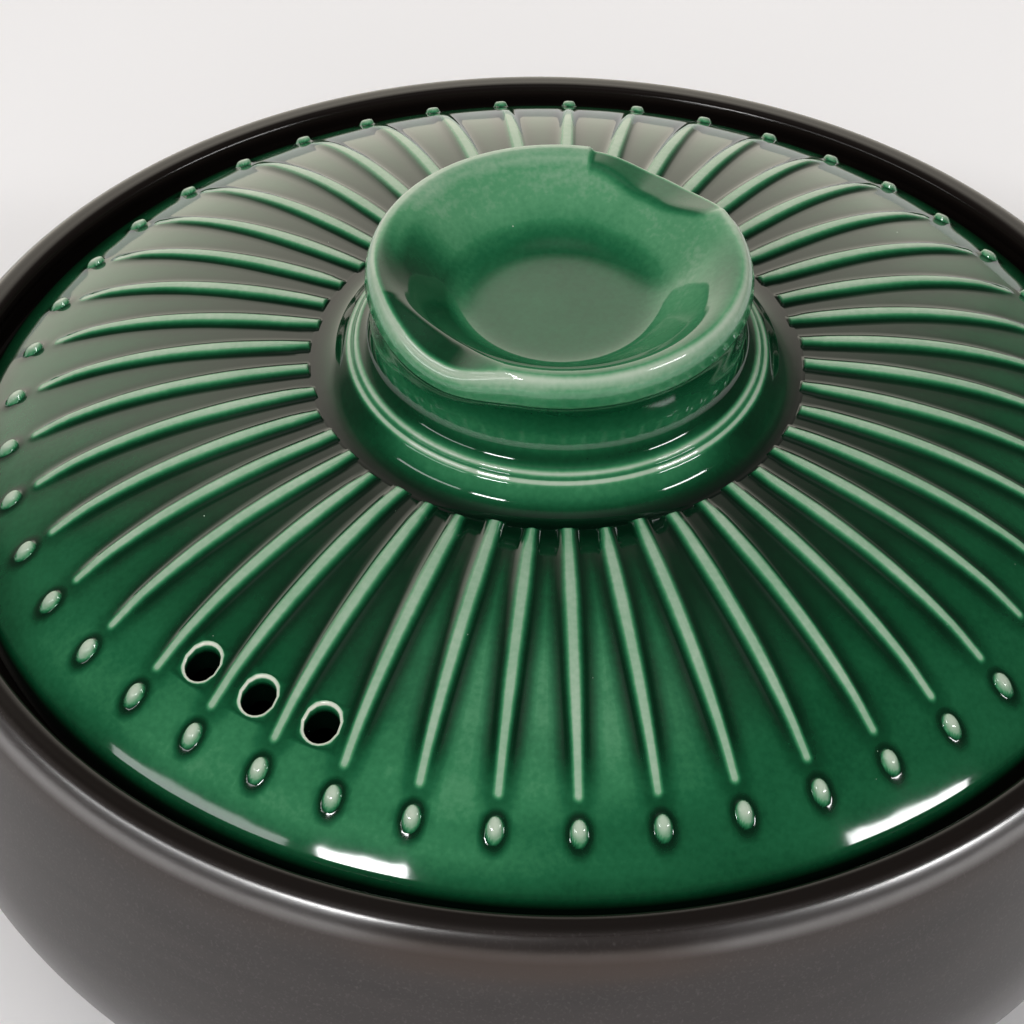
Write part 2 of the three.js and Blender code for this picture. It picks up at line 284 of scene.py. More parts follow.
in_rib = inside_rib(lid_radius, across)
to_bead = bead_share(lid_radius, across)
beside_rib = np.maximum(-in_rib, 0)
beside_bead = np.maximum(to_bead - 1, 0) * BEAD_HALF_WIDTH
print("half width of a rib up to", round(in_rib.max(), 2), "mm")

# %% Height of the ribs and beads over the dome
RIB_HEIGHT = 0.9
RIB_FOOT = 1.2
RIB_SHOULDER = 0.7
RIB_END_SHARE = 0.2
RIB_END_LENGTH = 8
RIB_END_PAST = 0.5
BEAD_HEIGHT = 1.3
BEAD_FULLNESS = 0.6
FILLET_HEIGHT = 0.2
FILLET_FADE = 0.9
RECESS_MARGIN = 0.8
fillet = FILLET_HEIGHT * np.exp(-beside_bead / FILLET_FADE)
rib_fade = smooth(RIB_OUTER + RIB_END_PAST, RIB_OUTER - RIB_END_LENGTH, lid_radius)
rib_rise = RIB_HEIGHT * (RIB_END_SHARE + (1 - RIB_END_SHARE) * rib_fade)
rib_relief = rib_rise * smooth(-RIB_FOOT, RIB_SHOULDER, in_rib)
bead_relief = BEAD_HEIGHT * np.maximum(1 - to_bead**4, 0) ** BEAD_FULLNESS
on_top = (np.arange(len(lid_profile)) >= first_top)[:, None]
off_recess = smooth(KNOB_RECESS, KNOB_RECESS + RECESS_MARGIN, lid_radius)
relief = on_top * off_recess * (np.maximum(rib_relief, bead_relief) + fillet)
print("ribs and beads stand up to", round(relief.max(), 2), "mm above the dome")

# %% [markdown]
# Glaze runs off ridges and gathers in corners while it melts. That depth decides the colour, so it is
# worked out here from the distance to each rib and bead, which suits all of them better than painting by
# hand: 0 is bare-edge thin, about a half is an even coat, and 1 is a deep pool. It is deepest round the
# knob, along the foot of every rib and round every bead, and thin on the tops. The depth also carries
# painted light and shade: it is made thinner, so paler, in front and, near the edge, a little to the
# left, where the lamps fall, and deeper, so darker, along the edge behind.

# %% Depth of the even coat, with painted light in front and on the left, and painted shade behind
FRONT_SPREAD = (27, 7)
LEFT_SPREAD = (45, 8)
LEFT_OF_FRONT = 25
BEHIND_SPREAD = (50, 85)
BACK_EDGE_SHADE = 0.22
BACK_EDGE_SHADE_RADII = (104, 110.5)
coat_depth = np.interp(
    lid_radius,
    [44, 52, 62, 75, 88, 98, 108.5, 110.5, EDGE_START],
    [0.98, 0.97, 0.94, 0.85, 0.74, 0.69, 0.65, 0.66, 0.72],
)
from_front = (np.degrees(lid_angle) + 90 + 180) % 360 - 180
# Painted light: the depth is lowered in front and near the edge on the left, which paints the glaze paler
# there.
front_painted_light = np.interp(lid_radius, [48, 60, 75, 88, 98, 104], [0, 0.32, 0.45, 0.32, 0.17, 0])
left_painted_light = np.interp(lid_radius, [90, 98, 108, EDGE_START], [0, 0.15, 0.22, 0])
in_front = smooth(*FRONT_SPREAD, np.abs(from_front))
on_left = smooth(*LEFT_SPREAD, np.abs(from_front + LEFT_OF_FRONT))
behind = smooth(*BEHIND_SPREAD, np.abs(from_front))
paler_as_painted_light = front_painted_light * in_front + left_painted_light * on_left
# Painted shade: the depth is raised near the edge behind, which paints the glaze darker there.
back_edge_shade = BACK_EDGE_SHADE * behind * smooth(*BACK_EDGE_SHADE_RADII, lid_radius)
mid_gap = np.minimum(coat_depth - paler_as_painted_light + back_edge_shade, 1)
print("coat from", round(mid_gap.min(), 2), "to", round(mid_gap.max(), 2))

# %% Pools beside the ribs and beads, and thin glaze on their tops
POOL_DEPTH = 0.93
RIB_POOL_REACH = (4.0, 0.8)
RIB_END_POOL_LOSS = 0.55
RIB_END_POOL_LENGTH = 9
BEAD_POOL_REACH = (2.2, 0.4)
RIB_TOP_DEPTH = 0.165
BEAD_TOP_DEPTH = 0.07
BEAD_SIDE_DEPTH = 0.24
BEAD_BORDER = (1.2, 0.95)
rib_end = smooth(RIB_OUTER - RIB_END_POOL_LENGTH, RIB_OUTER, lid_radius)
rib_pool = smooth(*RIB_POOL_REACH, beside_rib) * (1 - RIB_END_POOL_LOSS * rib_end)
bead_pool = smooth(*BEAD_POOL_REACH, beside_bead)
pooled = mid_gap + np.maximum(POOL_DEPTH - mid_gap, 0) * np.maximum(rib_pool, bead_pool)
rib_softness = np.interp(lid_radius, [50, 70, 98], [0.7, 0.8, 0.5])
rib_top = smooth(-1, 1, in_rib / rib_softness)
bead_top = smooth(*BEAD_BORDER, to_bead)
bead_depth = BEAD_TOP_DEPTH + BEAD_SIDE_DEPTH * np.minimum(to_bead, 1) ** 3
top_pool = pooled + (RIB_TOP_DEPTH - pooled) * rib_top + (bead_depth - pooled) * bead_top
print("glaze on top from", round(top_pool.min(), 2), "to", round(top_pool.max(), 2))

# %% Painted shade on the edge, glaze on the underside, and bare clay on the seat
UNDERSIDE_DEPTH = 0.55
EDGE_SHADE_DEPTHS = [1.0, 0.74]
ring = np.arange(len(lid_profile))[:, None]
# Painted shade: the edge is set darkest where it turns down into the shaded gap round the lid, and along the
# whole back.
edge_shade = np.interp(ring, [first_edge, first_top], EDGE_SHADE_DEPTHS)
edge_shade = edge_shade + (1 - edge_shade) * behind
below_edge = ring < first_edge - 1
lid_pool = np.where(on_top, top_pool, np.where(below_edge, UNDERSIDE_DEPTH, edge_shade))
lid_bare = np.broadcast_to((ring > first_seat) & below_edge, lid_angle.shape)
print(round(100 * lid_bare.mean(), 1), "% of the lid's points are bare")

# %% [markdown]
# Three steam vents are punched straight down through the lid, each between two ribs. Cutting them out of
# the finished mesh would leave ragged triangles in the glossy surface. Instead a block of the grid is
# left out on both faces of the lid, and one sleeve of rings joins the two holes: from the block's edge in
# to a rounded mouth, down the wall, and out again. The glaze pulls back from the sharp mouth, which
# leaves a thin cream ring round each hole.

# %% Rings of a vent's sleeve: share of the way in from the block, growth over the bore, depth, and glaze with painted shade down the bore
VENT_HALF = 3.2
VENT_ROUND = 0.55
bend = np.radians([0, 30, 60, 90])
mouth_grow = VENT_ROUND * (1 - np.sin(bend))
mouth_sink = VENT_ROUND * (1 - np.cos(bend))
bore_sink = LID_WALL * np.array([0.3, 0.65])
lower_sink = LID_WALL - mouth_sink[::-1]
sleeve_reach = np.concatenate([[0.5, 0.85], np.ones(10), [0.5]])[:, None]
sleeve_grow = np.concatenate([[VENT_ROUND] * 2, mouth_grow, [0, 0], mouth_grow[::-1], [VENT_ROUND]])[:, None]
sleeve_sink = np.concatenate([[0, 0], mouth_sink, bore_sink, lower_sink, [LID_WALL]])[:, None]
# Painted shade: down the bore the glaze is set to its deepest, darkest green for the shade inside the hole;
# the cream ring at the mouth is thin glaze.
sleeve_pool_and_shade = np.array([0.8, 0.7, 0.1, 0.02, 0.02, 0.5, 1, 1, 1, 1, 1, 0.7, UNDERSIDE_DEPTH])
print("vent mouth of", 2 * (VENT_HALF + VENT_ROUND), "mm, bore of", 2 * VENT_HALF, "mm")

# %% Punch the vents
VENT_GAPS = (3, 4, 5)
BLOCK_COLUMNS = 9
lid_grid = np.stack([
    lid_radius * np.cos(lid_angle),
    lid_radius * np.sin(lid_angle),
    lid_profile[:, 1:] + relief,
], axis=-1)
rows, columns = lid_angle.shape
index = np.arange(rows * columns).reshape(rows, columns)
lid_quads = ring_faces(index)
keep = np.ones(lid_quads.shape[:2], bool)
top_rows = first_top + np.flatnonzero(np.isin(top_radii, vent_rings))
under_rows = np.flatnonzero(np.isin(under_radii, vent_rings))[::-1]
lid_points = [lid_grid.reshape(-1, 3), [[0, 0, dome_height(0.0) - LID_WALL], [0, 0, KNOB_SEAT]]]
lid_pools = [lid_pool.ravel(), [UNDERSIDE_DEPTH] * 2]
sleeve_quads = []
next_point = rows * columns + 2
for gap in VENT_GAPS:
    first_column = (RIB_COUNT - gap) * cell_columns - (BLOCK_COLUMNS + 1) // 2
    block = (first_column + np.arange(BLOCK_COLUMNS)) % columns
    loops = []
    for face_rows in (top_rows, under_rows):
        loops.append(np.concatenate([
            index[face_rows[0], block[:-1]],
            index[face_rows[:-1], block[-1]],
            index[face_rows[-1], block[:0:-1]],
            index[face_rows[:0:-1], block[0]],
        ]))
        keep[np.ix_(np.arange(face_rows.min(), face_rows.max()), block[:-1])] = False
    vent_angle = RIB_FIRST - (gap + 0.5) * RIB_STEP
    vent_axis = VENT_RADIUS * np.array([np.cos(vent_angle), np.sin(vent_angle)])
    rim = lid_points[0][loops[0], :2] - vent_axis
    bearing = np.arctan2(rim[:, 1], rim[:, 0])
    distance = np.hypot(rim[:, 0], rim[:, 1])
    spread = distance + (VENT_HALF + sleeve_grow - distance) * sleeve_reach
    plan = vent_axis + spread[:, :, None] * np.stack([np.cos(bearing), np.sin(bearing)], axis=-1)
    sleeve_height = dome_height(np.hypot(plan[..., 0], plan[..., 1])) - sleeve_sink
    sleeve = np.concatenate([plan, sleeve_height[..., None]], axis=-1)
    numbers = next_point + np.arange(sleeve.shape[0] * sleeve.shape[1]).reshape(sleeve.shape[:2])
    next_point += numbers.size
    sleeve_quads.append(ring_faces(np.concatenate([loops[:1], numbers, loops[1:]])).reshape(-1, 4))
    lid_points.append(sleeve.reshape(-1, 3))
    lid_pools.append(np.repeat(sleeve_pool_and_shade, sleeve.shape[1]))
print(len(VENT_GAPS), "vents with", len(bearing), "points round each")

# %% Put the lid together
lid_fans = [pole_fan(index[0][::-1], rows * columns), pole_fan(index[-1], rows * columns + 1)]
lid_faces = np.concatenate([lid_quads[keep], *sleeve_quads]).tolist() + np.concatenate(lid_fans).tolist()
lid_points = np.concatenate(lid_points)
lid_bare = np.append(lid_bare.ravel(), np.zeros(len(lid_points) - lid_bare.size))
lid = fired_piece(
    "glazed_lid", "lid", "green_glaze", ["lid_dome"], lid_points, lid_faces,
    pool=np.concatenate(lid_pools), bare=lid_bare,
)

# %% [markdown]
# ## The knob
#
# The knob is thrown on the wheel and luted on with slip. Its outline, from the lid upwards: a skirt that
# flares out into the dome, a flange with two fine ridges, a waisted neck, a band, a broad rim and a dish.
# One smooth curve runs through a short list of places on that outline, and each place also says how deep
# the glaze lies there. A Screw modifier could spin such an outline, but rings of points can also be
# pressed out of round, which the rim needs.

# %% A flowing line through a few places
LINE_STEPS = 4


def flowing_line(places, steps):
    """A smooth curve through every place: between two of them it is a cubic whose slope at each is half
    the step between its neighbours. The line begins at the first place and ends at the last."""
    ends = [2 * places[:1] - places[1:2], 2 * places[-1:] - places[-2:-1]]
    chain = np.concatenate([ends[0], places, ends[1]])
    before, start, stop, after = chain[:-3], chain[1:-2], chain[2:-1], chain[3:]
    t = np.linspace(0, 1, steps, endpoint=False)[:, None, None]
    square = 2 * before - 5 * start + 4 * stop - after
    cube = 3 * start - before - 3 * stop + after
    line = start + ((stop - before) * t + square * t**2 + cube * t**3) / 2
    return np.concatenate([line.transpose(1, 0, 2).reshape(-1, places.shape[1]), places[-1:]])


print("a line through 3 places has", len(flowing_line(np.eye(3), LINE_STEPS)), "points")

# %% The knob's outline: radius, height above its seat and depth of glaze
skirt_places = [
    [20.0, 0.0, 0.8], [40.0, 0.0, 0.8], [42.8, 0.0, 1.0], [43.7, 0.28, 1.0], [45.0, 0.28, 1.0],
    [46.9, 0.26, 1.0], [46.5, 0.35, 1.0], [45.9, 0.42, 1.0], [45.2, 0.52, 0.98], [44.3, 0.68, 0.95],
    [43.4, 0.92, 0.89], [42.6, 1.28, 0.8], [41.9, 1.82, 0.68], [41.3, 2.5, 0.57], [40.7, 3.28, 0.5],
    [40.1, 4.05, 0.46], [39.7, 4.5, 0.38],
]
flange_places = [
    [39.35, 4.7, 0.12], [38.95, 5.1, 0.15], [38.65, 5.15, 0.48], [38.35, 5.35, 0.48], [38.0, 5.85, 0.12],
    [37.6, 6.15, 0.22], [36.9, 6.35, 0.56], [36.2, 6.75, 0.74],
]
neck_places = [
    [35.65, 7.35, 0.82], [35.2, 8.1, 0.76], [34.85, 8.9, 0.66], [34.6, 9.7, 0.58], [34.45, 10.5, 0.55],
    [34.35, 11.6, 0.56], [34.35, 13.0, 0.62], [34.45, 14.6, 0.68], [34.6, 16.2, 0.73], [34.8, 17.6, 0.76],
    [35.05, 18.7, 0.68],
]
band_places = [
    [35.4, 19.4, 0.5], [35.8, 19.8, 0.34], [36.0, 20.3, 0.4], [36.0, 21.2, 0.44], [35.9, 22.4, 0.38],
    [35.6, 23.6, 0.26], [35.1, 24.6, 0.16],
]
RIM_PLACE = [34.5, 25.3, 0.1]
lip_places = [
    [33.8, 25.6, 0.26], [33.0, 25.65, 0.46], [31.9, 25.35, 0.52], [30.7, 24.75, 0.5], [29.4, 23.9, 0.46],
]
dish_places = [
    [28.0, 22.9, 0.4], [26.0, 21.2, 0.33], [24.0, 19.45, 0.3], [22.0, 17.7, 0.3], [20.2, 16.2, 0.34],
    [18.6, 15.1, 0.44], [17.0, 14.4, 0.54], [15.0, 14.0, 0.62], [12.0, 13.85, 0.65], [7.0, 13.8, 0.66],
]
below_rim = skirt_places + flange_places + neck_places + band_places
knob_line = flowing_line(np.array(below_rim + [RIM_PLACE] + lip_places + dish_places), LINE_STEPS)
inside_rim = (np.arange(len(knob_line)) > LINE_STEPS * len(below_rim))[:, None]
print("knob outline of", len(knob_line), "points")

# %% [markdown]
# Two shallow scoops are pressed into the rim, which leaves flat facets where thumb and finger take hold.
# Each one sinks gently from one side and rises again on the other, and the one at the back ends in a
# little step. The band below is squeezed down with the rim. The lip inside is cut off by the facet, level
# at the back and tipped outwards in front, which is a soft minimum of the outline's height and the
# facet's height. Cutting with a second solid would leave a hard edge, and glaze rounds every edge.

# %% Scoops in the rim
SCOOPS = [
    # degrees where it starts, is full, eases off and ends; depth in mm; share of the depth left for a step
    (190, 230, 233, 261, 4.0, 0.0),
    (18, 50, 58, 79.5, 3.3, 0.45),
]
SQUEEZE_FOOT = 13.0
STEP_DEGREES = 3
BACK_SCOOP_END = 120
FACET_RISE = 0.7
FACET_ROUND = 0.3
FRONT_TILT = 0.27
BACK_TILT = 0.02
NO_FACET = 3.0
KNOB_SIDES = 420


def scoop_depth(degrees, start, full, ease, end, depth, step):
    """How far the rim is pressed down: a soft rise, a soft fall to the height of the step, and the step."""
    fall = 1 - (1 - step) * smooth(ease, end, degrees)
    return depth * smooth(start, full, degrees) * fall * (1 - smooth(end, end + STEP_DEGREES, degrees))


knob_degrees = np.linspace(0, 360, KNOB_SIDES, endpoint=False)
pressed = np.max([scoop_depth(knob_degrees, *scoop) for scoop in SCOOPS], axis=0)[None, :]
out = knob_line[:, :1]
rise = knob_line[:, 1:2]
rim_radius, rim_height = RIM_PLACE[:2]
squeezed = rise - pressed * np.clip((rise - SQUEEZE_FOOT) / (rim_height - SQUEEZE_FOOT), 0, 1)
facet_tilt = np.where(knob_degrees < BACK_SCOOP_END, BACK_TILT, FRONT_TILT)
facet_slope = facet_tilt * (rim_radius - out)
facet = rim_height - pressed + FACET_RISE + facet_slope + NO_FACET * (1 - smooth(0, 1, pressed))
cut = -FACET_ROUND * np.logaddexp(-rise / FACET_ROUND, -facet / FACET_ROUND)
knob_rise = np.where(inside_rim, cut, squeezed)
print("the rim is pressed down by up to", round(pressed.max(), 1), "mm")

# %% [markdown]
# The knob's glaze depth also carries painted shade. Inside the rim, the dish wall and the lip are painted
# deep and dark at the front left: painted shade on the wall and a painted dark reflection on the lip. At
# the back the glaze ran off the lip and gathered at the foot of the dish, and the back facet is painted
# darker as painted shade. The skirt and the foot of the neck are painted deep and dark on every side but
# the front, which faces the lamps. Each of these is a soft step of radius and angle, so no image has to
# be painted.

# %% Painted shade at the front left of the dish and lip, and on the knob's foot except in front
DISH_SHADE_WAY = np.radians(228)
DISH_SHADE_COSINES = (0.1, 0.8)
LIP_SHADE_WAY = np.radians(212)
LIP_SHADE_COSINES = (0.75, 0.95)
FRONT_SHADE_DEPTH = 0.84
SKIRT_RADII = (39.2, 40.2)
NECK_FOOT_RADII = (37.5, 36.8)
NECK_FOOT_RISES = (9.5, 8)
FOOT_SHADE_SINES = (0.85, 0.5)
FOOT_SHADE_DEPTH = 0.88
knob_angle = np.radians(knob_degrees)
line_pool = knob_line[:, 2:]
# Painted shade and painted dark reflection: the dish wall and the lip are set deep, so dark, at the front
# left.
dish_front_shade = np.interp(out, [18, 21.5, 28.5, 30.5], [0, 1, 1, 0])
dish_front_shade = dish_front_shade * smooth(*DISH_SHADE_COSINES, np.cos(knob_angle - DISH_SHADE_WAY))
lip_front_shade = np.interp(out, [28.5, 30.5, 33.2, 34.2], [0, 1, 1, 0])
lip_front_shade = lip_front_shade * smooth(*LIP_SHADE_COSINES, np.cos(knob_angle - LIP_SHADE_WAY))
# Painted shade: the skirt and the foot of the neck are set deep, so dark, on every side but the front, which
# faces the lamps.
neck_foot = smooth(*NECK_FOOT_RADII, out) * smooth(*NECK_FOOT_RISES, rise)
foot_shade = np.where(inside_rim, 0, smooth(*SKIRT_RADII, out) + neck_foot)
foot_shade = foot_shade * smooth(*FOOT_SHADE_SINES, -np.sin(knob_angle))
knob_pool = line_pool + inside_rim * (dish_front_shade + lip_front_shade) * np.maximum(FRONT_SHADE_DEPTH - line_pool, 0)
knob_pool = knob_pool + foot_shade * np.maximum(FOOT_SHADE_DEPTH - line_pool, 0)
print("glaze on the knob from", round(knob_pool.min(), 2), "to", round(knob_pool.max(), 2))

# %% Where it ran down at the back, and painted shade on the back facet
BACK_CHANGE = np.array([
    # radius and change of depth
    [14.0, 0], [16.0, 0.08], [17.5, 0.16], [19.0, 0.21], [20.5, 0.22], [22.0, 0.08], [24.0, 0.02],
    [26.0, -0.04], [28.0, -0.13], [29.4, -0.18], [31.0, -0.28], [33.3, -0.28], [34.2, 0],
])
BACK_SINES = (-0.1, 0.6)
FACET_SHADE_DEPTH = 0.62
FACET_BORDER = (-1.6, 0.0)
FACET_PRESSED = (0.4, 1.6)
FACET_RIM_RADII = (34.3, 33.5)
ran_down = inside_rim * np.interp(out, *BACK_CHANGE.T)
knob_pool = knob_pool + ran_down * smooth(*BACK_SINES, np.sin(knob_angle))
# Painted shade: the back facet is set deeper, so darker, than the dish round it.
facet_shade = inside_rim * (knob_degrees < BACK_SCOOP_END) * smooth(*FACET_BORDER, rise - facet)
facet_shade = facet_shade * smooth(*FACET_PRESSED, pressed) * smooth(*FACET_RIM_RADII, out)
knob_pool = knob_pool + facet_shade * np.maximum(FACET_SHADE_DEPTH - knob_pool, 0)
print("then from", round(knob_pool.min(), 2), "to", round(knob_pool.max(), 2))

# %% Turn the knob
knob_grid = np.stack([out * np.cos(knob_angle), out * np.sin(knob_angle), KNOB_SEAT + knob_rise], axis=-1)
knob = turned_piece(
    "glazed_knob", "lid", "green_glaze", ["lid_knob"], knob_grid,
    [[0, 0, KNOB_SEAT], [0, 0, knob_grid[-1, 0, 2]]], pool=knob_pool, bare=np.zeros(len(knob_line)),
)

# %% [markdown]
# ## The bowl
#
# The bowl is thrown too: a full belly that turns in to a rolled lip, and inside the lip a gallery with a
# ledge where the lid sits. The belly and the hollow are elliptical arcs, which is how a potter's rib
# shapes clay, and the lip is a flowing line like the knob's. Only the outside and the lip show while the
# lid is on.

# %% The outside of the bowl: radius and height, from under the foot up to the lip
BELLY_RADIUS = 128.0
BELLY_HEIGHT = 58.3
FOOT_RADIUS = 72.0
FOOT_HEIGHT = 2.5
NECK = np.array([125.2, 89.8])


def arc(centre, radii, start, stop, steps):
    """Points of an ellipse's arc between two angles in degrees, the last one left to the next stretch."""
    bearing = np.radians(np.linspace(start, stop, steps, endpoint=False))
    return np.stack([centre[0] + radii[0] * np.cos(bearing), centre[1] + radii[1] * np.sin(bearing)], axis=-1)


swell = BELLY_RADIUS - FOOT_RADIUS
neck_turn = np.arccos((NECK[0] - FOOT_RADIUS) / swell)
shoulder_rise = (NECK[1] - BELLY_HEIGHT) / np.sin(neck_turn)
foot_ring = np.array([
    [30, FOOT_HEIGHT], [55, FOOT_HEIGHT], [63, FOOT_HEIGHT], [63.8, 2.2], [64, 1.2], [64.3, 0.4],
    [65, 0], [68, 0], [71, 0], [71.7, 0.4], [FOOT_RADIUS, 1.2],
])
belly = np.concatenate([
    arc((FOOT_RADIUS, BELLY_HEIGHT), (swell, BELLY_HEIGHT - FOOT_HEIGHT), -90, 0, 40),
    arc((FOOT_RADIUS, BELLY_HEIGHT), (swell, shoulder_rise), 0, np.degrees(neck_turn), 14),
])
print("belly of", len(belly), "points, widest at", BELLY_HEIGHT, "mm")

# %% The lip and the inside: gallery, ledge, undercut, hollow and floor
GALLERY_RADIUS = 118.2
LEDGE_RADIUS = 108.2
LEDGE_HEIGHT = 86
UNDER_LEDGE = 80.0
FLOOR_RADIUS = 64.0
FLOOR_HEIGHT = 10.0
INSIDE_RADIUS = 120.0
BELLY_SHARE = 0.615
inside_belly = FLOOR_HEIGHT + BELLY_SHARE * (UNDER_LEDGE - FLOOR_HEIGHT)
lip = flowing_line(np.array([
    NECK, [124.65, 91.5], [124.05, 92.9], [123.3, 94.0], [122.4, 94.8], [121.3, 95.12], [120.1, 95.32],
    [119.0, 95.46], [118.1, 95.25], [117.45, 94.55], [117.3, 93.5], [117.7, 92.0], [GALLERY_RADIUS, 90.6],
]), LINE_STEPS)
gallery = np.array([
    [GALLERY_RADIUS, 89], [GALLERY_RADIUS, 87], [GALLERY_RADIUS - 0.4, 86.2],
    [GALLERY_RADIUS - 1.2, LEDGE_HEIGHT], [113, LEDGE_HEIGHT], [109.4, LEDGE_HEIGHT], [108.5, 85.7],
    [LEDGE_RADIUS, 85],
])
bulge = np.array([INSIDE_RADIUS, inside_belly + BELLY_SHARE * (UNDER_LEDGE - inside_belly)])
t = np.linspace(0, 1, 14, endpoint=False)[:, None]
from_ledge = (1 - t) ** 2 * np.array([LEDGE_RADIUS, UNDER_LEDGE])
undercut = from_ledge + 2 * t * (1 - t) * bulge + t**2 * np.array([INSIDE_RADIUS, inside_belly])
hollow_radii = (INSIDE_RADIUS - FLOOR_RADIUS, inside_belly - FLOOR_HEIGHT)
hollow = arc((FLOOR_RADIUS, inside_belly), hollow_radii, 0, -90, 30)
pot_floor = np.array([[FLOOR_RADIUS, FLOOR_HEIGHT], [40, FLOOR_HEIGHT], [15, FLOOR_HEIGHT]])
bowl_line = np.concatenate([foot_ring, belly, lip, gallery, undercut, hollow, pot_floor])
print("bowl outline of", len(bowl_line), "points")

# %% [markdown]
# The bowl's glaze changes along that outline: satin outside, glossy from the top of the lip inwards, and
# bare on the foot. Under the lip it thinned and broke to brown; that band also stands for a painted
# reflection of a dim brown room in front, so it is painted strongest in front. On the roll of the lip,
# except in front, it crystallised into a bright metallic skin.

# %% Where the bowl is glossy and where its clay is bare
LIP_FIRST = len(foot_ring) + len(belly)
GLOSS_STARTS = LIP_FIRST + 14
GLOSS_FULL = LIP_FIRST + 21
BARE_HEIGHTS = (5.5, 4.2)
up = bowl_line[:, 1:]
bowl_inner = smooth(GLOSS_STARTS, GLOSS_FULL, np.arange(len(bowl_line)))[:, None]
outside = 1 - bowl_inner
bowl_bare = outside * smooth(*BARE_HEIGHTS, up)
gloss_radii = bowl_line[[GLOSS_STARTS, GLOSS_FULL], 0].round(1)
print("gloss starts at radius", gloss_radii[0], "on the lip and is full at", gloss_radii[1])

# %% Where its glaze is thin and brown, with painted reflection strongest in front, and where it is bright, round the lip
BOWL_SIDES = 300
FRONT_SINES = (0.955, 0.992)
THIN_FROM = (84, 89)
THIN_TO = (93.5, 91.5)
THIN_SHARE = 0.3
FRONT_REFLECTION_GAIN = 0.6
ROLL_FROM = (90, 93)
ROLL_FRONT_LOSS = 0.8
bowl_angle = np.linspace(0, 2 * np.pi, BOWL_SIDES, endpoint=False)
bowl_front = smooth(*FRONT_SINES, -np.sin(bowl_angle))
thin_band = outside * smooth(*THIN_FROM, up) * smooth(*THIN_TO, up)
# Painted reflection: the brown under the lip is made stronger in front, where it stands for a dim brown room
# mirrored in the glaze.
bowl_brown_and_reflection = thin_band * (THIN_SHARE + FRONT_REFLECTION_GAIN * bowl_front)
bowl_roll = outside * smooth(*ROLL_FROM, up) * (1 - ROLL_FRONT_LOSS * bowl_front)
print("glaze thinned by up to", round(bowl_brown_and_reflection.max(), 2), "under the lip")

# %% Turn the bowl
bowl_grid = np.stack([
    bowl_line[:, :1] * np.cos(bowl_angle),
    bowl_line[:, :1] * np.sin(bowl_angle),
    np.broadcast_to(up, (len(bowl_line), BOWL_SIDES)),
], axis=-1)
bowl = turned_piece(
    "glazed_bowl", "pot", "iron_glaze", ["pot_bowl"], bowl_grid, [[0, 0, FOOT_HEIGHT], [0, 0, FLOOR_HEIGHT]],
    inner=bowl_inner, bare=bowl_bare, thin=bowl_brown_and_reflection, roll=bowl_roll,
)

# %% [markdown]
# ## The handles
#
# Two solid lugs are luted to the belly, wide enough for two fingers in an oven cloth. Each is a row of
# rounded slices that narrow towards the tip like a half ellipse and swell where the wet clay was smeared
# on to the wall. A rounded block would be quicker, but slices set the width at every place.

# %% The shape of a lug
LUG_ROOT = 108.0
LUG_TIP = 152.0
LUG_HALF_WIDTH = 40.0
LUG_HALF_HEIGHT = 7.0
LUG_LEVEL = 72.8
LUG_TILT = np.radians(8)
LUG_TILT_START = 105.0
LUG_SQUARENESS = 0.72
LUG_TIP_ROUND = 1.5
LUG_TIP_POWER = 0.8
SMEAR_SWELL = 0.45
SMEAR_START = 124
SMEAR_REACH = 5
LUG_SLICES = 60
LUG_SIDES = 96


def rounded(wave):
    """A sine or cosine pushed towards 1 and -1, so that a circle becomes a soft rectangle."""
    return np.sign(wave) * np.abs(wave) ** LUG_SQUARENESS


def lug_points(side):
    """Slices along X: each is a superellipse whose width follows half an ellipse from root to tip. Its
    height is even but for a round tip, swells near the wall's radius, and the whole lug is tipped up."""
    along = np.sin(np.linspace(0, np.pi / 2, LUG_SLICES, endpoint=False))[:, None]
    bearing = np.linspace(0, 2 * np.pi, LUG_SIDES, endpoint=False)[None, :]
    taper = np.sqrt(1 - along**2)
    y = LUG_HALF_WIDTH * taper * rounded(np.cos(bearing))
    x = np.broadcast_to(LUG_ROOT + (LUG_TIP - LUG_ROOT) * along, y.shape)
    off_wall = np.maximum(np.hypot(x, y) - SMEAR_START, 0) / SMEAR_REACH
    smear = 1 + SMEAR_SWELL * np.exp(-(off_wall**2))
    tip = np.minimum(1, LUG_TIP_ROUND * taper) ** LUG_TIP_POWER
    z = LUG_HALF_HEIGHT * tip * rounded(np.sin(bearing)) * smear
    return np.stack([side * x, side * y, LUG_LEVEL + z + (x - LUG_TILT_START) * np.tan(LUG_TILT)], axis=-1)


lug_end = LUG_LEVEL + (LUG_TIP - LUG_TILT_START) * np.tan(LUG_TILT)
print("lugs reach out to", LUG_TIP, "mm at a height of", round(lug_end, 1), "mm")

# %% Set a lug on each side
handles = {}
for side, name in ((1, "handle_right"), (-1, "handle_left")):
    slices = lug_points(side)
    plain = np.zeros(len(slices))
    handles[name] = turned_piece(
        "glazed_" + name, "pot", "iron_glaze", [name], slices,
        [slices[0].mean(axis=0), [side * LUG_TIP, 0, lug_end]],
        inner=plain, bare=plain, thin=plain, roll=plain,
    )

# %% [markdown]
# ## Colours and nodes
#
# Colours are typed as the sRGB hex values that a colour picker shows, and turned into the linear values
# that Blender mixes. A single helper adds any node: keyword arguments are its settings, and a dictionary
# gives its inputs, where a socket is linked and anything else is typed in.

# %% Helpers for materials
def linear(code):
    """A hex colour as linear red, green, blue and full alpha, by the sRGB curve."""
    share = np.array([int(code[i:i + 2], 16) for i in (1, 3, 5)]) / 255
    return (*np.where(share > 0.04045, ((share + 0.055) / 1.055) ** 2.4, share / 12.92), 1.0)


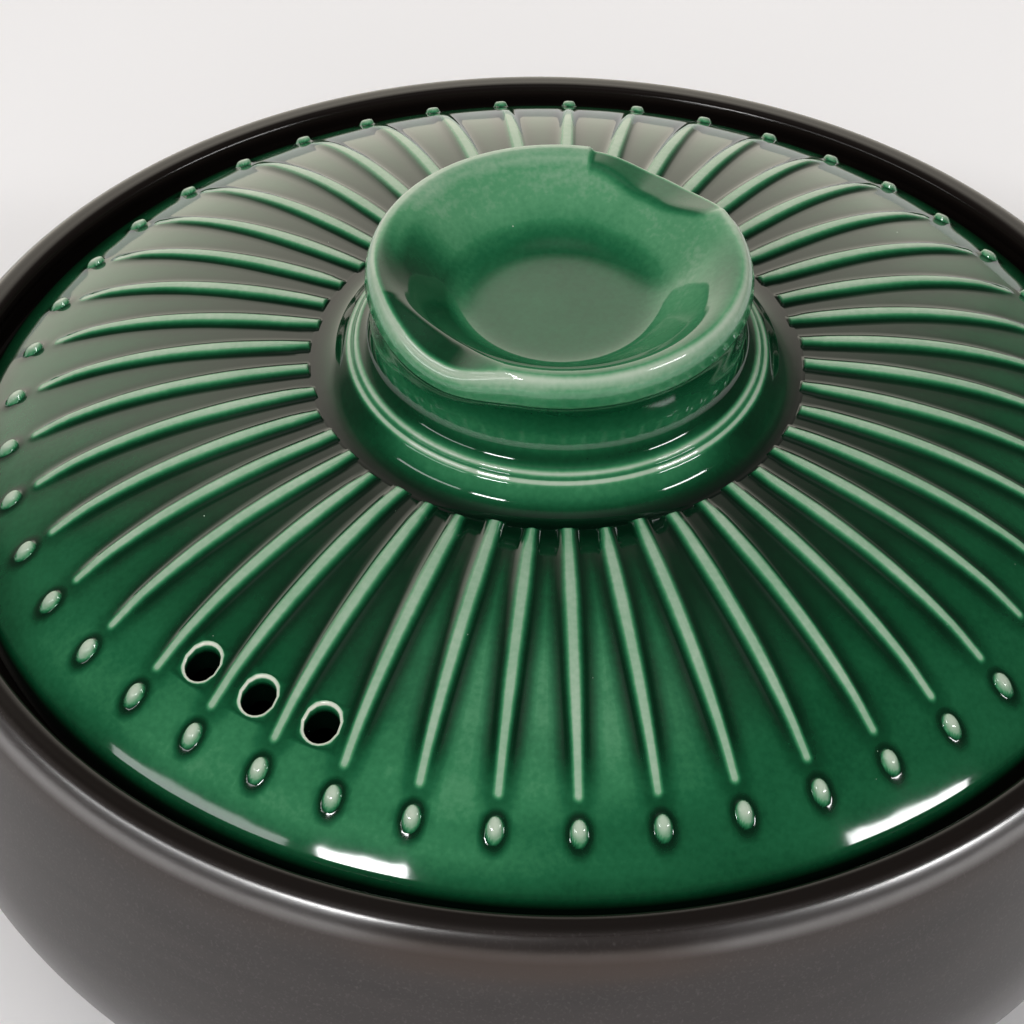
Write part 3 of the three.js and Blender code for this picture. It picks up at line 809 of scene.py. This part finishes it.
def add_node(tree, kind, inputs=None, stops=(), **settings):
    """Adds a node with its settings, its typed or linked inputs and, on a colour ramp, its stops."""
    node = tree.nodes.new("ShaderNode" + kind)
    for name, value in settings.items():
        setattr(node, name, value)
    for name, value in (inputs or {}).items():
        if isinstance(value, bpy.types.NodeSocket):
            tree.links.new(value, node.inputs[name])
        else:
            node.inputs[name].default_value = value
    for i, (place, colour) in enumerate(stops):
        ramp = node.color_ramp.elements
        stop = ramp[i] if i < 2 else ramp.new(place)
        stop.position = place
        stop.color = colour
    return node


def per_mm(size):
    """Scale of a texture whose features are this many millimetres across."""
    return 1 / (size * MM)


def finish_for(name, *pieces):
    """A new material on these pieces, with its node tree and its main shader."""
    material = bpy.data.materials.new(name)
    material.use_nodes = True
    for piece in pieces:
        piece.data.materials.append(material)
    return material.node_tree, material.node_tree.nodes["Principled BSDF"]


print("middle grey #808080 is", round(linear("#808080")[0], 3), "in linear light")

# %% [markdown]
# ## Copper-green glaze
#
# A lead-free glaze with copper, fired to glass. It is clear green glass over pale clay, so its colour is
# set by depth: cream where it thins over an edge, celadon on the ribs, bottle green in a pool. Painting
# that depth as a colour ramp is far quicker than tracing light through real glass, and looks the same
# from every side. The surface itself is glossy, waved like orange peel, with a few tiny pale bubbles that
# burst and healed.

# %% Colour of the copper-green glaze by its depth
tree, glass = finish_for("copper_green_glaze", lid, knob)
place = add_node(tree, "TexCoord").outputs["Object"]
depth = add_node(tree, "Attribute", attribute_name="pool").outputs["Fac"]
cloud = add_node(tree, "TexNoise", {"Vector": place, "Scale": per_mm(14), "Detail": 3.0}).outputs["Fac"]
grain = add_node(tree, "TexNoise", {"Vector": place, "Scale": per_mm(1.1), "Detail": 2.0}).outputs["Fac"]
uneven = add_node(tree, "MapRange", {
    "Value": cloud, "From Min": 0.3, "From Max": 0.7, "To Min": -0.2, "To Max": 0.2,
}).outputs[0]
mottle = add_node(tree, "MapRange", {
    "Value": grain, "From Min": 0.3, "From Max": 0.7, "To Min": -0.12, "To Max": 0.12,
}).outputs[0]
# The clouds and the grain move the depth most where the coat is even, and not on bare edges or in pools.
drift = add_node(tree, "Math", {0: uneven, 1: mottle}, operation="ADD").outputs[0]
to_full = add_node(tree, "Math", {0: 1.0, 1: depth}, operation="SUBTRACT").outputs[0]
freedom = add_node(tree, "Math", {0: depth, 1: to_full}, operation="MULTIPLY").outputs[0]
coat = add_node(tree, "Math", {0: drift, 1: freedom, 2: depth}, operation="MULTIPLY_ADD").outputs[0]
green = add_node(tree, "ValToRGB", {"Fac": coat}, stops=[
    (0.0, linear("#d6d6c6")), (1.0, linear("#020d07")), (0.07, linear("#adbba8")), (0.16, linear("#8ea990")),
    (0.3, linear("#518b64")), (0.45, linear("#30714b")), (0.6, linear("#1b5938")), (0.75, linear("#0e4428")),
    (0.9, linear("#062a17")),
]).outputs["Color"]
print("green glaze:", len(tree.nodes), "nodes for its colour")

# %% Bubbles, bare clay under the seat, gloss and orange peel
bubble = add_node(tree, "TexVoronoi", {"Vector": place, "Scale": per_mm(4.5)})
chance = add_node(tree, "SeparateColor", {"Color": bubble.outputs["Color"]}).outputs[0]
size = add_node(tree, "MapRange", {
    "Value": chance, "From Min": 0.55, "From Max": 1.0, "To Min": 0.0, "To Max": 0.035,
}).outputs[0]
dot = add_node(tree, "Math", {0: bubble.outputs["Distance"], 1: size}, operation="LESS_THAN").outputs[0]
speck = add_node(tree, "Math", {0: dot, 1: 0.5}, operation="MULTIPLY").outputs[0]
dotted = add_node(tree, "Mix", {0: speck, 6: green, 7: linear("#c9d4c4")}, data_type="RGBA").outputs[2]
bare = add_node(tree, "Attribute", attribute_name="bare").outputs["Fac"]
shown = add_node(tree, "Mix", {0: bare, 6: dotted, 7: linear("#b9a58a")}, data_type="RGBA").outputs[2]
gloss = add_node(tree, "MapRange", {"Value": bare, "To Min": 0.06, "To Max": 0.8}).outputs[0]
peel = add_node(tree, "TexNoise", {"Vector": place, "Scale": per_mm(5), "Detail": 1.0}).outputs["Fac"]
wave = add_node(tree, "Bump", {"Height": peel, "Strength": 0.16, "Distance": 0.1 * MM}).outputs["Normal"]
tree.links.new(shown, glass.inputs["Base Color"])
tree.links.new(gloss, glass.inputs["Roughness"])
tree.links.new(wave, glass.inputs["Normal"])
glass.inputs["IOR"].default_value = 1.58
print("green glaze:", len(tree.nodes), "nodes in all")

# %% [markdown]
# ## Iron glaze
#
# The bowl carries a dark glaze full of iron, which crystallises as it cools into a satin skin like
# gunmetal. It gives the eye a soft, wide highlight on the lip, a grey sheen from whatever lies round the
# pot, and a faint sparkle. The real crystals are finer than can show at this distance, so they are drawn
# coarser, as pale specks in the colour: a painted sparkle. Where the glaze thins under the lip it breaks
# to brown, which also stands for a painted reflection of a dim brown room. On top of the lip and inside
# it the same iron is fired glossy and nearly black, and under the foot the clay is bare, so it can't stick
# to the kiln shelf. One material reads all of this from the points, because two would meet in a hard line.

# %% Colour of the satin iron glaze on the bowl and handles
tree, iron = finish_for("satin_iron_glaze", bowl, *handles.values())
place = add_node(tree, "TexCoord").outputs["Object"]
inner = add_node(tree, "Attribute", attribute_name="inner").outputs["Fac"]
bare = add_node(tree, "Attribute", attribute_name="bare").outputs["Fac"]
thrown = add_node(tree, "Mapping", {"Vector": place, "Scale": (1.0, 1.0, 6.0)}).outputs["Vector"]
cloud = add_node(tree, "TexNoise", {"Vector": thrown, "Scale": per_mm(32), "Detail": 3.0}).outputs["Fac"]
crystal = add_node(tree, "TexNoise", {"Vector": place, "Scale": per_mm(0.6), "Detail": 2.0}).outputs["Fac"]
tone = add_node(tree, "ValToRGB", {"Fac": cloud}, stops=[
    (0.3, linear("#221d1b")), (0.7, linear("#2c2624")),
]).outputs["Color"]
# Painted sparkle: pale specks mixed into the colour stand in for glints off the crystals.
painted_sparkle = add_node(tree, "MapRange", {
    "Value": crystal, "From Min": 0.55, "From Max": 0.8, "To Min": 0.0, "To Max": 0.16,
}).outputs[0]
satin = add_node(tree, "Mix", {0: painted_sparkle, 6: tone, 7: linear("#7b7573")}, data_type="RGBA").outputs[2]
thin = add_node(tree, "Attribute", attribute_name="thin").outputs["Fac"]
# Brown where the glaze is thin under the lip, and partly a painted reflection of a dim brown room, strongest
# in front.
brown_and_reflection = add_node(tree, "Mix", {0: thin, 6: satin, 7: linear("#34261d")}, data_type="RGBA").outputs[2]
lined = add_node(tree, "Mix", {0: inner, 6: brown_and_reflection, 7: linear("#15110f")}, data_type="RGBA").outputs[2]
shown = add_node(tree, "Mix", {0: bare, 6: lined, 7: linear("#a08770")}, data_type="RGBA").outputs[2]
print("iron glaze:", len(tree.nodes), "nodes for its colour")

# %% Its sheen, brightest on the roll of the lip
roll = add_node(tree, "Attribute", attribute_name="roll").outputs["Fac"]
satin_sheen = add_node(tree, "MapRange", {"Value": roll, "To Min": 0.3, "To Max": 0.33}).outputs[0]
sheen = add_node(tree, "MapRange", {"Value": inner, "To Min": satin_sheen, "To Max": 0.15}).outputs[0]
rough = add_node(tree, "Math", {0: sheen, 1: bare}, operation="MAXIMUM").outputs[0]
not_satin = add_node(tree, "Math", {0: inner, 1: bare}, operation="MAXIMUM").outputs[0]
metal = add_node(tree, "MapRange", {"Value": not_satin, "To Min": 0.1, "To Max": 0.0}).outputs[0]
satin_mirror = add_node(tree, "MapRange", {"Value": roll, "To Min": 0.16, "To Max": 1.0}).outputs[0]
mirror = add_node(tree, "MapRange", {"Value": inner, "To Min": satin_mirror, "To Max": 0.075}).outputs[0]
tooth = add_node(tree, "Bump", {"Height": crystal, "Strength": 0.15, "Distance": 0.05 * MM}).outputs["Normal"]
tree.links.new(shown, iron.inputs["Base Color"])
tree.links.new(rough, iron.inputs["Roughness"])
tree.links.new(metal, iron.inputs["Metallic"])
tree.links.new(mirror, iron.inputs["Specular IOR Level"])
tree.links.new(tooth, iron.inputs["Normal"])
iron.inputs["IOR"].default_value = 2.3
print("iron glaze:", len(tree.nodes), "nodes in all")

# %% [markdown]
# ## Table and light
#
# The pot stands on a plain pale table, which ends out of the picture behind it, so that the back of the
# lid mirrors a bright room and not more table. Gloss only shows what is round it, so the lamps are placed
# by what the lid should reflect: two slim windows in front that draw white streaks on the lid's shoulder,
# a weak strip on the left, and a room that is bright behind and dim in front, which lays a pale veil over
# the back of the lid. Two soft sheets overhead add plain light for colour and are kept out of the gloss.

# %% A pale table
TABLE_HALF = 3.0
TABLE_BACK = 0.66
corners = np.array([[-1, -1, 0], [1, -1, 0], [1, 1, 0], [-1, 1, 0]]) * TABLE_HALF
corners[2:, 1] = TABLE_BACK
board = bpy.data.meshes.new("table")
board.from_pydata(corners.tolist(), [], [[0, 1, 2, 3]])
table = bpy.data.objects.new("table", board)
scene.collection.objects.link(table)
tree, paint = finish_for("white_painted_table", table)
place = add_node(tree, "TexCoord").outputs["Object"]
brushed = add_node(tree, "TexNoise", {"Vector": place, "Scale": per_mm(220), "Detail": 2.0}).outputs["Fac"]
white = add_node(tree, "ValToRGB", {"Fac": brushed}, stops=[
    (0.3, linear("#f3f1f2")), (0.7, linear("#f7f5f6")),
]).outputs["Color"]
tree.links.new(white, paint.inputs["Base Color"])
paint.inputs["Roughness"].default_value = 0.7
print("table of", 2 * TABLE_HALF, "by", TABLE_HALF + TABLE_BACK, "m")

# %% Lamps
LAMPS = {
    # name: azimuth, elevation and roll in degrees, distance, width and height in metres, brightness, in gloss
    "right_window": (-22.7, 33.6, -28, 1.3, 0.44, 0.12, 23, True),
    "left_window": (-123.2, 43.0, 16, 1.3, 0.28, 0.12, 36, True),
    "left_strip": (-154, 34.5, 24, 1.3, 0.66, 0.13, 4.5, True),
    "overhead_sheet": (-102, 48, 0, 4.6, 6.5, 3.8, 2.2, False),
    "rear_sheet": (90, 50, 0, 2.2, 2.6, 1.4, 0.8, False),
}
LAMP_TARGET = np.array([0, 0, 0.1])
for name, (azimuth, elevation, lamp_roll, distance, width, height, brightness, glossy) in LAMPS.items():
    lamp = bpy.data.lights.new(name, "AREA")
    lamp.shape = "RECTANGLE"
    lamp.size, lamp.size_y = width, height
    lamp.energy = brightness * np.pi * width * height
    a, e, r = np.radians([azimuth, elevation, lamp_roll])
    outward = np.array([np.cos(e) * np.cos(a), np.cos(e) * np.sin(a), np.sin(e)])
    sideways = np.array([-np.sin(a), np.cos(a), 0])
    lamp_axes = Matrix(np.stack([sideways, np.cross(outward, sideways), outward], axis=-1).tolist())
    lamp_turn = (lamp_axes @ Matrix.Rotation(r, 3, "Z")).to_4x4()
    holder = bpy.data.objects.new(name, lamp)
    holder.matrix_world = Matrix.Translation((distance * outward + LAMP_TARGET).tolist()) @ lamp_turn
    holder.visible_camera = False
    holder.visible_glossy = glossy
    scene.collection.objects.link(holder)
print(len(LAMPS), "lamps")

# %% A room that is bright behind the pot, has a soft glow on its ceiling, and is dim elsewhere
BRIGHT_AZIMUTH, BRIGHT_ELEVATION = np.radians([102, 11])
CEILING_WAY = (0.0, 0.09, 0.995)
ROOM_STRENGTH = 1.7
room = bpy.data.worlds.new("room")
scene.world = room
room.use_nodes = True
tree = room.node_tree
gaze = add_node(tree, "TexCoord").outputs["Generated"]
wall_way = (
    np.cos(BRIGHT_ELEVATION) * np.cos(BRIGHT_AZIMUTH),
    np.cos(BRIGHT_ELEVATION) * np.sin(BRIGHT_AZIMUTH),
    np.sin(BRIGHT_ELEVATION),
)
to_wall = add_node(tree, "VectorMath", {0: gaze, 1: wall_way}, operation="DOT_PRODUCT").outputs["Value"]
wall = add_node(tree, "ValToRGB", {"Fac": to_wall}, stops=[
    (0.4, linear("#2a2929")), (1.0, linear("#fff8e8")), (0.68, linear("#454442")), (0.78, linear("#8c8880")),
    (0.86, linear("#e2dccf")),
]).outputs["Color"]
to_ceiling = add_node(tree, "VectorMath", {0: gaze, 1: CEILING_WAY}, operation="DOT_PRODUCT").outputs["Value"]
ceiling = add_node(tree, "ValToRGB", {"Fac": to_ceiling}, stops=[
    (0.9, linear("#000000")), (1.0, linear("#6e6d6c")), (0.95, linear("#343333")), (0.985, linear("#605f5e")),
]).outputs["Color"]
walls = add_node(tree, "Mix", {0: 1.0, 6: wall, 7: ceiling}, data_type="RGBA", blend_type="ADD").outputs[2]
tree.links.new(walls, tree.nodes["Background"].inputs["Color"])
tree.nodes["Background"].inputs["Strength"].default_value = ROOM_STRENGTH
print("room:", len(tree.nodes), "nodes")

# %% [markdown]
# ## Camera
#
# A long lens looks down on the pot from in front. It stands at a distance from a place on the axis, at a
# height angle, and is then turned so that this place falls on a given pixel of a 1024 pixel square, with
# a slight roll. It could be aimed by eye, but numbers bring back the same picture each time.

# %% Place the camera
IMAGE_SIZE = 1024
SENSOR = 36.0
FOCAL_PIXELS = 3757.8
AIM = np.array([0, 0, 0.102])
AIM_PIXEL = np.array([554.81, 425.31])
CAMERA_DISTANCE = 0.7194
CAMERA_ELEVATION = np.radians(41.352)
CAMERA_ROLL = np.radians(1.770)
from_aim = np.array([0, -np.cos(CAMERA_ELEVATION), np.sin(CAMERA_ELEVATION)])
to_right = np.array([1.0, 0, 0])
level_axes = Matrix(np.stack([to_right, np.cross(from_aim, to_right), from_aim], axis=-1).tolist())
off_centre = (AIM_PIXEL - IMAGE_SIZE / 2) / FOCAL_PIXELS
straight = Matrix.Identity(3).col[2].copy()
aim_ray = straight.copy()
aim_ray.xy = -off_centre[0], off_centre[1]
aim_turn = straight.rotation_difference(aim_ray).to_matrix()
camera_turn = (aim_turn @ Matrix.Rotation(-CAMERA_ROLL, 3, "Z")).transposed()
lens = bpy.data.cameras.new("long_lens")
lens.sensor_width = SENSOR
lens.lens = SENSOR * FOCAL_PIXELS / IMAGE_SIZE
camera = bpy.data.objects.new("long_lens", lens)
camera_place = Matrix.Translation((AIM + CAMERA_DISTANCE * from_aim).tolist())
camera.matrix_world = camera_place @ (level_axes @ camera_turn).to_4x4()
scene.collection.objects.link(camera)
scene.camera = camera
print("lens of", round(lens.lens, 1), "mm")
